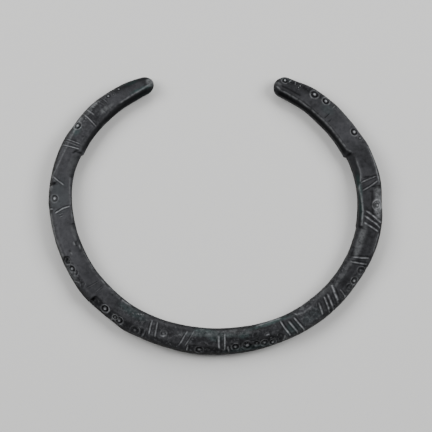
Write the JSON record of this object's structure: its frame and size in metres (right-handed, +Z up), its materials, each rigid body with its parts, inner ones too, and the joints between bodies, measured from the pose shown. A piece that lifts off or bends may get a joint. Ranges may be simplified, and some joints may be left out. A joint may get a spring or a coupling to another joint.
{
  "type": "armilla bracelet",
  "caption": "Penannular cast bronze arm ring with a bevelled bar, incised grooves and punched ring-and-dot marks.",
  "frame": {"origin": "middle of the ring's outline, on the surface that the ring lies on", "axes": "+Z up through the arm opening, the decorated face up; +X along the ring's widest extent; +Y towards the gap between the two ends"},
  "size_m": [0.0716, 0.0596, 0.005],
  "materials": {
    "bronze": "dark patinated bronze, worn lighter on the arrises, with thin green corrosion in hollows"
  },
  "bodies": {
    "root": {"bracelet": "bronze"}
  },
  "joints": []
}
